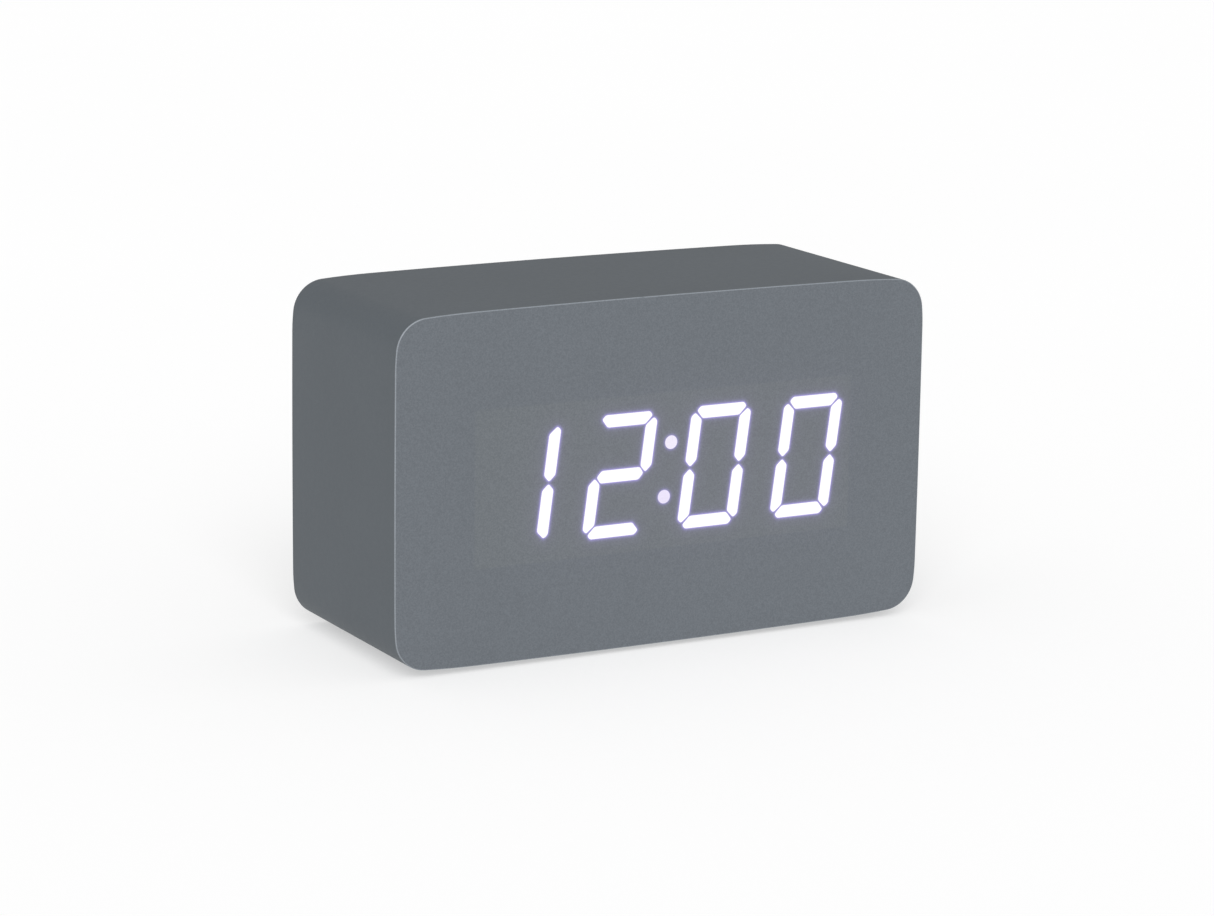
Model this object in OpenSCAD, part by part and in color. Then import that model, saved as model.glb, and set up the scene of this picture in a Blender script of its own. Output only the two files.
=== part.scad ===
// Block alarm clock with a light-through front.
// A laminated fibreboard block holds a four-figure light display behind a thin front skin.
// A plastic cover closes the back and carries the board, the buttons and the battery bay.
// Units are millimetres. X runs to the right seen from the front, the front faces -Y, Z is up.
// The origin is on the surface that the feet stand on, below the middle of the body.

/* [Body] */
// Width of the body across the front
body_w = 120; // [118:1:140]
// Height of the body without its feet
body_h = 71; // [70:1:90]
// Depth from the front skin to the rear skin
body_d = 48; // [47:1:70]
// Radius of the corners seen from the front
corner_r = 6.75; // [5:0.25:9]
// Thickness of the laminate on every outer face
skin_t = 0.5; // [0.4:0.1:0.8]
// Gap between the surface and the lowest line of the body
foot_gap = 1; // [0.8:0.1:2]

/* [Display] */
// Time that the lit bars show
time_shown = "12:00"; // ["12:00", "07:30", "10:08", "23:59"]
// Height of a figure
digit_h = 24.8; // [20:0.1:26]
// Width of a figure before it is slanted
digit_w = 13.8; // [11:0.1:15]
// Width of one bar
bar_w = 2.5; // [2:0.05:3]
// Distance from one figure to the next
digit_pitch = 21.6; // [19:0.1:22]
// Slant of the figures, in degrees
slant = 7.5; // [0:0.5:8]

/* [Controls] */
// Diameter of a button cap
button_d = 7; // [6:0.1:8]
// Travel of a button
button_travel = 0.6; // [0.3:0.1:0.8]
// Travel of the mode switch
switch_travel = 2; // [1.5:0.1:2]

/* [Battery bay] */
// Diameter of a cell
cell_d = 10.5; // [10:0.1:10.5]
// Length of a cell with its contact nub
cell_l = 44.5; // [44:0.1:45]

/* [Hidden] */
$fn = 48;

// Colours
laminate_grey = [0.42, 0.44, 0.46];
fibreboard = [0.60, 0.48, 0.34];
mould_black = [0.07, 0.07, 0.08];
rubber_black = [0.10, 0.10, 0.10];
light_white = [0.96, 0.94, 1.00];
mask_green = [0.05, 0.26, 0.15];
mask_white = [0.88, 0.88, 0.86];
nickel = [0.74, 0.74, 0.72];

// Heights and depths of the body
half_w = body_w / 2;
half_h = body_h / 2;
z_mid = foot_gap + half_h;
y_front = -body_d / 2;
y_back = body_d / 2;
y_block_front = y_front + skin_t;
y_block_back = y_back - skin_t;

// Outline of the body, a quarter of it: five arcs, each tangent to the next, from the middle of
// the right side to the middle of the top. The broad first and last arcs close it to the size.
turns = [0, 0.33, 6.3, 86.1, 89.4, 90]; // angles of the outward normal where the arcs meet
arc_steps = [4, 3, 14, 4, 6];
side_shoulder_r = 41;
top_shoulder_r = 188;
function across(i) = cos(turns[i]) - cos(turns[i + 1]);
function along(i) = sin(turns[i + 1]) - sin(turns[i]);
left_w = half_w - side_shoulder_r * across(1) - corner_r * across(2) - top_shoulder_r * across(3);
left_h = half_h - side_shoulder_r * along(1) - corner_r * along(2) - top_shoulder_r * along(3);
spread = across(0) * along(4) - across(4) * along(0);
side_arc_r = (left_w * along(4) - left_h * across(4)) / spread;
top_arc_r = (left_h * across(0) - left_w * along(0)) / spread;
arc_radii = [side_arc_r, side_shoulder_r, corner_r, top_shoulder_r, top_arc_r];

// Window and cavities of the block
window_w = 86;
window_h = 32;
front_wall = 4;
y_wall = y_block_front + front_wall;
cavity_w = 98;
cavity_h = 49;
post = 5.5; // side of the corner posts that take the rear screws

// Rear cover
cover_w = 104;
cover_h = 54;
cover_r = 6;
cover_gap = 0.2;
cover_recess = 1.5;
cover_t = 2.5;
y_cover = y_back - cover_recess;
y_cover_in = y_cover - cover_t;
rear_screw_x = 47.5;
rear_screw_v = 22.5;
rear_head_r = 2.5;
rear_head_h = 1.7;
rear_seat = y_cover - 1.3;
rear_shank_l = 10;

// Main board, behind the buttons and beside the battery bay
board_t = 1.6;
y_board = y_cover_in - 7;
y_board_front = y_board - board_t;
board_outline = [
    [-42, 12.8], [-42, 23.6], [42, 23.6], [42, 17], [47.5, 17],
    [47.5, -17], [42, -17], [42, -23.6], [12.8, -23.6], [12.8, 12.8]
];
board_screw_places = [[-39, 18.2], [44, 13.5], [44, -13.5], [16.5, -20.2]];
standoff_r = 2.6;

// Controls, as places on the back
control_v = 18.2;
set_x = -31;
up_x = -17;
down_x = -3;
switch_x = 12;
microphone_x = 26;
usb_place = [30, -13.5];
plug_w = 13; // pocket in the cover for the plug's grip
plug_h = 7;
usb_base = 0.8;
buzzer_place = [30, 3];
button_clearance = 0.2;
tact_size = 6;
tact_h = 3.5;
plunger_r = 1.7;
y_plunger = y_board + 5; // outer end of a plunger at rest
knob_w = 3;
knob_h = 2;
can_w = 8.6;
can_h = 3.8;
can_depth = 3.5;

// Battery bay, its door and the door's hinge
cell_pitch = cell_d + 0.3;
bay_x = -16;
bay_v = -6.2;
bay_l = cell_l + 6.5;
bay_h = 3 * cell_d + 1.1;
bay_wall = 1.5;
door_gap = 0.1;
door_t = 2;
y_door = y_cover - door_gap;
y_door_in = y_door - door_t;
y_bay_floor = y_door_in - cell_d - 0.6;
door_l = bay_l + 2 * bay_wall;
door_top = bay_v + bay_h / 2 + bay_wall;
hinge_r = door_t / 2;
hinge_y = y_door - hinge_r;
hinge_v = bay_v - bay_h / 2 - bay_wall + hinge_r + door_gap;
pin_r = 0.8;
pin_l = 1.4;
latch_w = 10;
latch_l = 6;
contact_t = 0.3;
cell_y = y_bay_floor + cell_d / 2 + 0.05;
cell_rows = [cell_pitch, 0, -cell_pitch];

// Display module
film_t = 0.3;
gasket_t = 0.5;
flange_t = 1.2;
display_board_t = 1.6;
display_board_w = 96;
display_board_h = 42;
y_film = y_block_front + film_t;
y_flange = y_wall + gasket_t;
y_display_board = y_flange + flange_t;
y_display_back = y_display_board + display_board_t;
display_screw_x = 45.5;
display_screw_v = 18.5;
display_screws_at = [for (sx = [-1, 1], sv = [-1, 1]) [sx * display_screw_x, sv * display_screw_v]];
socket_w = 20.5;
socket_d = 5.2;
socket_h = 6;
socket_x = -26;
display_socket_v = 7;

// Feet
foot_r = 4.5;
foot_x = 43;
foot_y = 12;
foot_top = foot_gap + 1.3;

// Bars of a figure, as outlines about the figure's middle before the slant
bar_gap = 0.2;
half_digit_w = digit_w / 2;
half_digit_h = digit_h / 2;
top_bar = [
    [-half_digit_w + 1.9, half_digit_h], [half_digit_w - 1.9, half_digit_h],
    [half_digit_w - 1.2, half_digit_h - 0.85],
    [half_digit_w - bar_w - 0.15, half_digit_h - bar_w],
    [-half_digit_w + bar_w + 0.15, half_digit_h - bar_w],
    [-half_digit_w + 1.2, half_digit_h - 0.85]
];
left_bar = [
    [-half_digit_w, half_digit_h - 2], [-half_digit_w + 0.85, half_digit_h - 1.25],
    [-half_digit_w + bar_w, half_digit_h - bar_w - 0.25],
    [-half_digit_w + bar_w, 1.5], [-half_digit_w + bar_w / 2, bar_gap], [-half_digit_w, 1.5]
];
middle_bar = [
    [-half_digit_w + 1.65, 0], [-half_digit_w + bar_w + 0.1, bar_w / 2],
    [half_digit_w - bar_w - 0.1, bar_w / 2], [half_digit_w - 1.65, 0],
    [half_digit_w - bar_w - 0.1, -bar_w / 2], [-half_digit_w + bar_w + 0.1, -bar_w / 2]
];
BAR_NAMES = "abcdefg";
BARS_LIT = [
    "abcdef", "bc", "abged", "abgcd", "fgbc", "afgcd", "afgedc", "abc", "abcdefg", "abcdfg"
];
display_x = 0.15; // how far the figures sit right of the body's middle
digit_places = [for (k = [-1.5 : 1.5]) k * digit_pitch + display_x];
digits_shown = [for (i = [0, 1, 3, 4]) ord(time_shown[i]) - ord("0")];
colon_r = 1.38;
colon_v = 5.5;
colon_lift = 0.15; // height of the colon's middle above the figures' middle
bar_corner = 0.4;

// ---------------------------------------------------------------- functions

function flipped(points, su, sv) = [for (p = points) [su * p.x, sv * p.y]];

function bar_outline(name) =
    name == "a" ? top_bar :
    name == "b" ? flipped(left_bar, -1, 1) :
    name == "c" ? flipped(left_bar, -1, -1) :
    name == "d" ? flipped(top_bar, 1, -1) :
    name == "e" ? flipped(left_bar, 1, -1) :
    name == "f" ? left_bar : middle_bar;

function dot_place(s) = [display_x + s * colon_v * tan(slant), s * colon_v + colon_lift];

function slanted(points, x) = [for (p = points) [x + p.x + tan(slant) * p.y, p.y]];

// The points with each corner rounded to a radius of about r
function softened(points, r) = let (n = len(points)) [
    for (i = [0 : n - 1], k = [0 : 2])
        let (
            p = points[i],
            a = r * unit(points[(i + n - 1) % n] - p),
            b = r * unit(points[(i + 1) % n] - p)
        )
        k == 0 ? p + a : k == 1 ? p + (a + b) / 4 : p + b
];

function arc(centre, r, from, to, steps) =
    [for (i = [0 : steps]) let (a = from + (to - from) * i / steps) centre + r * [cos(a), sin(a)]];

function without_first(list) = [for (i = [1 : len(list) - 1]) list[i]];

function reversed(list) = [for (i = [len(list) - 1 : -1 : 0]) list[i]];

// Centre of an arc of the outline, found from the arc before it
function arc_centre(i) =
    i == 0
        ? [half_w - arc_radii[0], 0]
        : arc_centre(i - 1) + (arc_radii[i - 1] - arc_radii[i]) * [cos(turns[i]), sin(turns[i])];

// A quarter of the outline, from the middle of the right side to the middle of the top
function quarter(inset) =
    concat(
        [[half_w - inset, 0]],
        [
            for (i = [0 : len(arc_radii) - 1])
                each without_first(
                    arc(arc_centre(i), arc_radii[i] - inset, turns[i], turns[i + 1], arc_steps[i])
                )
        ]
    );

function outline(inset) =
    let (q = quarter(inset), last = len(q) - 1)
    concat(
        q,
        reversed([for (i = [0 : last - 1]) [-q[i].x, q[i].y]]),
        [for (i = [1 : last]) [-q[i].x, -q[i].y]],
        reversed([for (i = [1 : last - 1]) [q[i].x, -q[i].y]])
    );

function rounded(w, h, r, steps = 6) =
    [for (k = [0 : 3], i = [0 : steps])
        let (
            a = 90 * (k + i / steps),
            sx = (k == 0 || k == 3) ? 1 : -1,
            sv = k < 2 ? 1 : -1
        )
        [sx * (w / 2 - r) + r * cos(a), sv * (h / 2 - r) + r * sin(a)]];

function shifted(points, place) = [for (p = points) p + place];

// A point on a smooth curve through a list of points
function through(p, i, t) =
    let (
        a = p[max(i - 1, 0)], b = p[i], c = p[i + 1], d = p[min(i + 2, len(p) - 1)]
    )
    b + t / 2 * (c - a + t * (2 * a - 5 * b + 4 * c - d + t * (3 * b - a - 3 * c + d)));

function smooth_path(p, steps) = concat(
    [for (i = [0 : len(p) - 2], k = [0 : steps - 1]) through(p, i, k / steps)], [p[len(p) - 1]]
);

function unit(v) = v / norm(v);

function ring(path, i, r, sides, side_axis) =
    let (
        along = unit(path[min(i + 1, len(path) - 1)] - path[max(i - 1, 0)]),
        n = unit(cross(along, side_axis)),
        m = cross(along, n)
    )
    [for (k = [0 : sides - 1]) path[i] + r * (cos(360 * k / sides) * n + sin(360 * k / sides) * m)];

// ---------------------------------------------------------------- shapes

// An outline in X and height about the body's middle, extruded from y0 to y1
module along_y(y0, y1) {
    translate([0, y1, z_mid])
        rotate([90, 0, 0])
            linear_extrude(height = y1 - y0)
                children();
}

// An outline in Y and height about the body's middle, extruded from x0 to x1
module along_x(x0, x1) {
    translate([x0, 0, z_mid])
        rotate([90, 0, 90])
            linear_extrude(height = x1 - x0)
                children();
}

module rod_y(place, r, y0, y1) {
    translate([place.x, y0, z_mid + place.y])
        rotate([-90, 0, 0])
            cylinder(h = y1 - y0, r = r);
}

module rod_x(y, v, r, x0, x1) {
    translate([x0, y, z_mid + v])
        rotate([0, 90, 0])
            cylinder(h = x1 - x0, r = r);
}

// A box from x0 to x1, y0 to y1, and v0 to v1 about the body's middle height
module slab(x0, x1, y0, y1, v0, v1) {
    translate([x0, y0, z_mid + v0])
        cube([x1 - x0, y1 - y0, v1 - v0]);
}

// A box centred on a place, w wide and h high
module pad(place, w, h, y0, y1) {
    slab(place.x - w / 2, place.x + w / 2, y0, y1, place.y - h / 2, place.y + h / 2);
}

// A pan-head screw with a cross recess. toward is 1 if the head faces the back, -1 if the front
module screw(place, seat, toward, head_r, head_h, shank_r, shank_l) {
    slot_l = head_r * 1.3;
    slot_w = head_r * 0.26;
    slot_d = head_h * 0.6;
    translate([place.x, seat, z_mid + place.y])
        rotate([-90 * toward, 0, 0])
            difference() {
                union() {
                    cylinder(h = head_h, r = head_r);
                    translate([0, 0, -shank_l])
                        cylinder(h = shank_l + 0.1, r = shank_r);
                }
                for (a = [0, 90])
                    rotate([0, 0, a])
                        translate([-slot_l / 2, -slot_w / 2, head_h - slot_d])
                            cube([slot_l, slot_w, slot_d + 1]);
            }
}

// A round tube along a path, as one closed surface
module tube(path, r, sides, side_axis) {
    last = len(path) - 1;
    points = [for (i = [0 : last]) each ring(path, i, r, sides, side_axis)];
    walls = [
        for (i = [0 : last - 1], k = [0 : sides - 1])
            let (a = i * sides + k, b = i * sides + (k + 1) % sides)
            each [[a, b, b + sides], [a, b + sides, a + sides]]
    ];
    near_end = [[for (k = [sides - 1 : -1 : 0]) k]];
    far_end = [[for (k = [0 : sides - 1]) last * sides + k]];
    polyhedron(points = points, faces = concat(near_end, walls, far_end));
}

module every_bar(y0, y1) {
    for (x = digit_places, name = BAR_NAMES)
        along_y(y0, y1) polygon(slanted(bar_outline(name), x));
}

module every_lit_bar(y0, y1) {
    for (i = [0 : 3])
        for (name = BARS_LIT[digits_shown[i]])
            along_y(y0, y1)
                polygon(slanted(softened(bar_outline(name), bar_corner), digit_places[i]));
}

module both_dots(r, y0, y1) {
    for (s = [-1, 1])
        rod_y(dot_place(s), r, y0, y1);
}

// ---------------------------------------------------------------- body

module body_block() {
    color(fibreboard) difference() {
        along_y(y_block_front, y_block_back) polygon(outline(skin_t));
        // window for the display
        along_y(y_block_front - 1, y_wall + 1) polygon(rounded(window_w, window_h, 2));
        // cavity, leaving a post in each corner
        difference() {
            along_y(y_wall, y_cover_in + 1) polygon(rounded(cavity_w, cavity_h, 3));
            for (sx = [-1, 1], sv = [-1, 1])
                pad(
                    [sx * (cavity_w - post) / 2, sv * (cavity_h - post) / 2],
                    post, post, y_wall + 12, y_cover_in
                );
        }
        // step that the rear cover sits in
        along_y(y_cover_in, y_block_back + 1)
            polygon(rounded(cover_w + 2 * cover_gap, cover_h + 2 * cover_gap, cover_r + cover_gap));
        for (sx = [-1, 1], sv = [-1, 1])
            rod_y([sx * rear_screw_x, sv * rear_screw_v], 1.3, y_cover_in - 10, y_cover_in + 1);
        for (place = display_screws_at)
            rod_y(place, 0.95, y_block_front + 0.9, y_wall + 1);
        foot_recesses(foot_r + 0.05);
    }
}

module foot_recesses(r) {
    for (sx = [-1, 1], sy = [-1, 1])
        translate([sx * foot_x, sy * foot_y, 0])
            cylinder(h = foot_top, r = r);
}

module body_wrap() {
    color(laminate_grey) difference() {
        along_y(y_block_front, y_block_back) polygon(outline(0));
        along_y(y_block_front - 1, y_block_back + 1) polygon(outline(skin_t));
        foot_recesses(foot_r + 0.05);
    }
}

module front_skin() {
    color(laminate_grey) difference() {
        along_y(y_front, y_block_front) polygon(outline(0));
        every_lit_bar(y_front - 1, y_block_front + 1);
        both_dots(colon_r, y_front - 1, y_block_front + 1);
    }
}

module rear_skin() {
    color(laminate_grey) difference() {
        along_y(y_block_back, y_back) polygon(outline(0));
        along_y(y_block_back - 1, y_back + 1)
            polygon(rounded(cover_w + 2 * cover_gap, cover_h + 2 * cover_gap, cover_r + cover_gap));
    }
}

module rubber_feet() {
    color(rubber_black)
        for (sx = [-1, 1], sy = [-1, 1])
            translate([sx * foot_x, sy * foot_y, 0])
                cylinder(h = foot_top, r = foot_r);
}

// A blank sticker that follows the bowed underside
module rating_label() {
    label_w = 46;
    label_d = 22;
    label_t = 0.1;
    color([0.80, 0.80, 0.78]) intersection() {
        along_y(-label_d / 2, label_d / 2) difference() {
            polygon(outline(-label_t));
            polygon(outline(0));
        }
        translate([-label_w / 2, -label_d, 0])
            cube([label_w, 2 * label_d, 2 * foot_gap]);
    }
}

// ---------------------------------------------------------------- display

module lit_bars() {
    color(light_white) every_lit_bar(y_front, y_block_front);
}

module lit_colon() {
    color(light_white) both_dots(colon_r, y_front, y_block_front);
}

module diffuser_film() {
    color(mask_white)
        along_y(y_block_front, y_film) polygon(rounded(window_w - 0.8, window_h - 0.8, 1.6));
}

module display_reflector() {
    color(mask_white) difference() {
        union() {
            along_y(y_film, y_flange + 0.1) polygon(rounded(window_w - 0.4, window_h - 0.4, 1.8));
            along_y(y_flange, y_display_board) square([display_board_w, display_board_h], center = true);
        }
        every_bar(y_film - 1, y_display_board + 1);
        both_dots(colon_r, y_film - 1, y_display_board + 1);
        for (place = display_screws_at)
            rod_y(place, 1.1, y_flange - 1, y_display_board + 1);
    }
}

// Foam frame that keeps light from leaking round the reflector
module light_gasket() {
    color(rubber_black) difference() {
        along_y(y_wall, y_flange) square([display_board_w, display_board_h], center = true);
        along_y(y_wall - 1, y_flange + 1) polygon(rounded(window_w + 0.6, window_h + 0.6, 2));
        for (place = display_screws_at)
            rod_y(place, 1.1, y_wall - 1, y_flange + 1);
    }
}

module display_board() {
    color(mask_white) difference() {
        along_y(y_display_board, y_display_back)
            square([display_board_w, display_board_h], center = true);
        for (place = display_screws_at)
            rod_y(place, 1.1, y_display_board - 1, y_display_back + 1);
    }
}

// Two chips behind each bar and one behind each dot
module segment_leds() {
    chip_h = 0.7;
    spread = 2.2;
    y0 = y_display_board - chip_h;
    level_rows = [half_digit_h - bar_w / 2, 0, bar_w / 2 - half_digit_h];
    upright_rows = [half_digit_h / 2, -half_digit_h / 2];
    color([0.92, 0.86, 0.55]) {
        for (x = digit_places, v = level_rows, s = [-1, 1])
            pad([x + s * spread + tan(slant) * v, v], 1.6, 0.8, y0, y_display_board);
        for (x = digit_places, u = [-1, 1], row = upright_rows, s = [-1, 1])
            let (v = row + s * spread)
                pad(
                    [x + u * (half_digit_w - bar_w / 2) + tan(slant) * v, v],
                    0.8, 1.6, y0, y_display_board
                );
        for (s = [-1, 1])
            pad(dot_place(s), 1.6, 0.8, y0, y_display_board);
    }
}

module display_screws() {
    color(nickel)
        for (place = display_screws_at)
            screw(place, y_display_back, 1, 1.8, 1.3, 0.9, 6);
}

// A shrouded socket. y0 is its board end, and y1 its open end
module socket(place, y0, y1) {
    mouth_front = y1 > y0 ? y1 - 4 : y1 - 1;
    mouth_back = y1 > y0 ? y1 + 1 : y1 + 4;
    difference() {
        pad(place, socket_w, socket_d, min(y0, y1), max(y0, y1));
        pad(place, socket_w - 1.6, socket_d - 1.6, mouth_front, mouth_back);
    }
}

module display_socket() {
    color(mask_white)
        socket([socket_x, display_socket_v], y_display_back, y_display_back + socket_h);
}

module board_socket() {
    color(mask_white)
        socket([socket_x, control_v], y_board_front, y_board_front - socket_h);
}

// A flat cable from the display board to the main board, in one S bend
module ribbon_cable() {
    cable_w = socket_w - 3;
    half_t = 0.45;
    seat = 3;
    y0 = y_display_back + socket_h - seat;
    y1 = y_board_front - socket_h + seat;
    steps = 20;
    middle = concat(
        [[y0, display_socket_v]],
        [for (i = [0 : steps])
            let (t = i / steps, s = t * t * (3 - 2 * t))
            [y0 + seat + (y1 - y0 - 2 * seat) * t,
             display_socket_v + (control_v - display_socket_v) * s]],
        [[y1, control_v]]
    );
    color([0.62, 0.64, 0.66])
        along_x(socket_x - cable_w / 2, socket_x + cable_w / 2)
            polygon(concat(
                [for (p = middle) p + [0, half_t]],
                reversed([for (p = middle) p - [0, half_t]])
            ));
}

// ---------------------------------------------------------------- main board

module main_board() {
    color(mask_green) difference() {
        along_y(y_board_front, y_board) polygon(board_outline);
        for (place = board_screw_places)
            rod_y(place, 1.25, y_board_front - 1, y_board + 1);
    }
}

module board_screws() {
    color(nickel)
        for (place = board_screw_places)
            screw(place, y_board_front, -1, 2, 1.4, 1, 6.6);
}

module tact_switches() {
    color([0.13, 0.13, 0.14])
        for (x = [set_x, up_x, down_x])
            difference() {
                pad([x, control_v], tact_size, tact_size, y_board, y_board + tact_h);
                rod_y([x, control_v], plunger_r + 0.05, y_board + 0.9, y_board + tact_h + 1);
            }
}

module plunger(x) {
    color([0.80, 0.78, 0.70])
        rod_y([x, control_v], plunger_r, y_plunger - 3, y_plunger);
}

module set_plunger() { plunger(set_x); }

module up_plunger() { plunger(up_x); }

module down_plunger() { plunger(down_x); }

// A cap with a retaining flange inside the cover. The children are cut into its outer face
module button(x) {
    flange_h = 1.1;
    pressed_proud = 0.3; // how far a pressed cap still stands out of the cover
    y_flange_top = y_cover_in - 0.1;
    y_cap = y_cover + button_travel + pressed_proud;
    color(mould_black) difference() {
        union() {
            rod_y([x, control_v], button_d / 2, y_flange_top - 0.1, y_cap);
            rod_y([x, control_v], button_d / 2 + 1, y_flange_top - flange_h, y_flange_top);
            rod_y([x, control_v], 1.6, y_plunger, y_flange_top - flange_h + 0.1);
        }
        translate([x, y_cap - 0.35, z_mid + control_v]) children();
    }
}

module set_button() {
    button(set_x)
        rotate([-90, 0, 0]) difference() {
            cylinder(h = 1, r = 1.6);
            translate([0, 0, -1]) cylinder(h = 3, r = 1.0);
        }
}

module up_button() {
    button(up_x)
        translate([0, 0.5, 0]) for (size = [[3.2, 0.6], [0.6, 3.2]])
            cube([size.x, 1, size.y], center = true);
}

module down_button() {
    button(down_x)
        translate([0, 0.5, 0]) cube([3.2, 1, 0.6], center = true);
}

module mode_switch_can() {
    wall = 0.5;
    slot_w = knob_w + switch_travel + 0.4;
    color(nickel) difference() {
        pad([switch_x, control_v], can_w, can_h, y_board, y_board + can_depth);
        pad(
            [switch_x, control_v], can_w - 2 * wall, can_h - 2 * wall,
            y_board + wall, y_board + can_depth - wall
        );
        pad([switch_x, control_v], slot_w, knob_h + 0.4, y_board + wall, y_board + can_depth + 1);
    }
}

// The lever rests at the end of its travel that is nearer the buttons
module mode_switch_knob() {
    x = switch_x - switch_travel / 2;
    shoe_w = 4;
    color([0.82, 0.82, 0.80]) {
        pad([x, control_v], knob_w, knob_h, y_board + 1.2, y_cover + 0.8);
        pad([x, control_v], shoe_w, knob_h + 0.5, y_board + 0.9, y_board + 2.4);
    }
}

module usb_shell() {
    color(nickel) difference() {
        along_y(y_board + usb_base, y_cover_in + 0.1) polygon(shifted(rounded(8.94, 3.26, 1.6), usb_place));
        along_y(y_board, y_cover) polygon(shifted(rounded(8.34, 2.56, 1.25), usb_place));
    }
}

module usb_tongue() {
    color(mould_black) {
        pad(usb_place, 9.4, 4, y_board, y_board + usb_base);
        pad(usb_place, 6.7, 0.7, y_board + usb_base - 0.1, y_cover_in - 1);
    }
}

module buzzer() {
    color(mould_black) difference() {
        rod_y(buzzer_place, 6, y_board, y_board + 6.3);
        rod_y(buzzer_place, 1, y_board + 4.8, y_board + 7);
    }
}

// Foam ring between the buzzer and the sound holes in the cover
module buzzer_ring() {
    color([0.16, 0.16, 0.17]) difference() {
        rod_y(buzzer_place, 6, y_board + 6.3, y_cover_in);
        rod_y(buzzer_place, 4.6, y_board + 6, y_cover_in + 1);
    }
}

module microphone() {
    color(nickel) rod_y([microphone_x, control_v], 3, y_board + 0.4, y_board + 5.4);
}

module microphone_boot() {
    color(rubber_black) difference() {
        rod_y([microphone_x, control_v], 3.8, y_board, y_cover_in);
        rod_y([microphone_x, control_v], 3, y_board + 0.4, y_board + 5.4);
        rod_y([microphone_x, control_v], 1.2, y_board + 5, y_cover_in + 1);
    }
}

// A chip with legs along its two long sides, on the front of the board
module chip(place, w, h, body_t, legs) {
    y_body = y_board_front - 0.1;
    pitch = 1.27;
    pad(place, w, h, y_body - body_t, y_body);
    for (i = [0 : legs - 1], s = [-1, 1])
        pad(
            place + [(i - (legs - 1) / 2) * pitch, s * (h / 2 + 0.6)],
            0.4, 1.6, y_board_front - 0.7, y_board_front
        );
}

module microcontroller() {
    color(mould_black) chip([28, 7.5], 17.9, 7.5, 2.3, 14);
}

module display_driver() {
    color(mould_black) chip([-4, control_v], 9.9, 3.9, 1.6, 8);
}

module crystal() {
    color(nickel) {
        rod_x(y_board_front - 1.7, 18.2, 1.5, 6, 13.5);
        pad([14, 18.2], 1, 2.4, y_board_front - 2.6, y_board_front);
    }
}

module capacitors() {
    color([0.12, 0.14, 0.30])
        for (v = [-5, 5])
            rod_y([44, v], 3.15, y_board_front - 7.7, y_board_front);
}

module regulator() {
    color(mould_black) {
        pad([20, -9], 4.5, 2.5, y_board_front - 1.5, y_board_front);
        pad([20, -11], 1.8, 1.6, y_board_front - 0.5, y_board_front);
    }
}

module transistors() {
    color(mould_black)
        for (i = [0 : 3])
            pad([19 + 6 * i, -2], 2.9, 1.4, y_board_front - 1.1, y_board_front);
}

module chip_resistors() {
    color([0.18, 0.18, 0.20])
        for (i = [0 : 7])
            pad([18 + 2.6 * i, 15.5], 0.8, 1.6, y_board_front - 0.5, y_board_front);
}

// ---------------------------------------------------------------- rear cover

module rear_cover() {
    bay_x0 = bay_x - bay_l / 2;
    bay_x1 = bay_x + bay_l / 2;
    bay_v0 = bay_v - bay_h / 2;
    bay_v1 = bay_v + bay_h / 2;
    color(mould_black) difference() {
        union() {
            along_y(y_cover_in, y_cover) polygon(rounded(cover_w, cover_h, cover_r));
            slab(
                bay_x0 - bay_wall, bay_x1 + bay_wall, y_bay_floor - bay_wall, y_cover_in + 0.1,
                bay_v0 - bay_wall, bay_v1 + bay_wall
            );
            for (place = board_screw_places)
                rod_y(place, standoff_r, y_board, y_cover_in + 0.1);
        }
        // battery bay, with two low ribs left between the cells
        difference() {
            slab(bay_x0, bay_x1, y_bay_floor, y_cover + 1, bay_v0, bay_v1);
            for (s = [-1, 1])
                pad([bay_x, bay_v + s * cell_pitch / 2], bay_l - 12, 1, y_bay_floor - 1, y_bay_floor + 2);
        }
        // recess of the door, and its hinge sockets
        slab(
            bay_x - door_l / 2 - 0.15, bay_x + door_l / 2 + 0.15, y_door_in - door_gap, y_cover + 1,
            hinge_v - hinge_r - 0.25, door_top + 0.15
        );
        rod_x(
            hinge_y, hinge_v, pin_r + 0.05,
            bay_x - door_l / 2 - pin_l - 0.2, bay_x + door_l / 2 + pin_l + 0.2
        );
        // openings for the controls and the power plug
        for (x = [set_x, up_x, down_x])
            rod_y([x, control_v], button_d / 2 + button_clearance, y_cover_in - 1, y_cover + 1);
        pad(
            [switch_x, control_v], knob_w + switch_travel + 0.4, knob_h + 0.4,
            y_cover_in - 1, y_cover + 1
        );
        along_y(y_cover_in - 1, y_cover + 1) polygon(shifted(rounded(plug_w, plug_h, 3.4), usb_place));
        // sound holes
        rod_y(buzzer_place, 0.7, y_cover_in - 1, y_cover + 1);
        for (a = [0 : 60 : 300])
            rod_y(buzzer_place + 3 * [cos(a), sin(a)], 0.7, y_cover_in - 1, y_cover + 1);
        rod_y([microphone_x, control_v], 0.7, y_cover_in - 1, y_cover + 1);
        // screw holes
        for (sx = [-1, 1], sv = [-1, 1])
            let (place = [sx * rear_screw_x, sv * rear_screw_v]) {
                rod_y(place, 1.45, y_cover_in - 1, y_cover + 1);
                rod_y(place, rear_head_r + 0.3, rear_seat, y_cover + 1);
            }
        for (place = board_screw_places)
            rod_y(place, 1.05, y_board - 1, y_board + 5.5);
        // slits for the solder tabs of the end contacts
        pad([bay_x0 - bay_wall / 2, bay_v + cell_rows[0]], bay_wall + 1, 2.4, cell_y - 2.4, cell_y - 1.6);
        pad([bay_x1 + bay_wall / 2, bay_v + cell_rows[2]], bay_wall + 1, 2.4, cell_y - 4.4, cell_y - 3.6);
    }
}

module rear_screws() {
    color(nickel)
        for (sx = [-1, 1], sv = [-1, 1])
            screw(
                [sx * rear_screw_x, sv * rear_screw_v], rear_seat, 1,
                rear_head_r, rear_head_h, 1.25, rear_shank_l
            );
}

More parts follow.
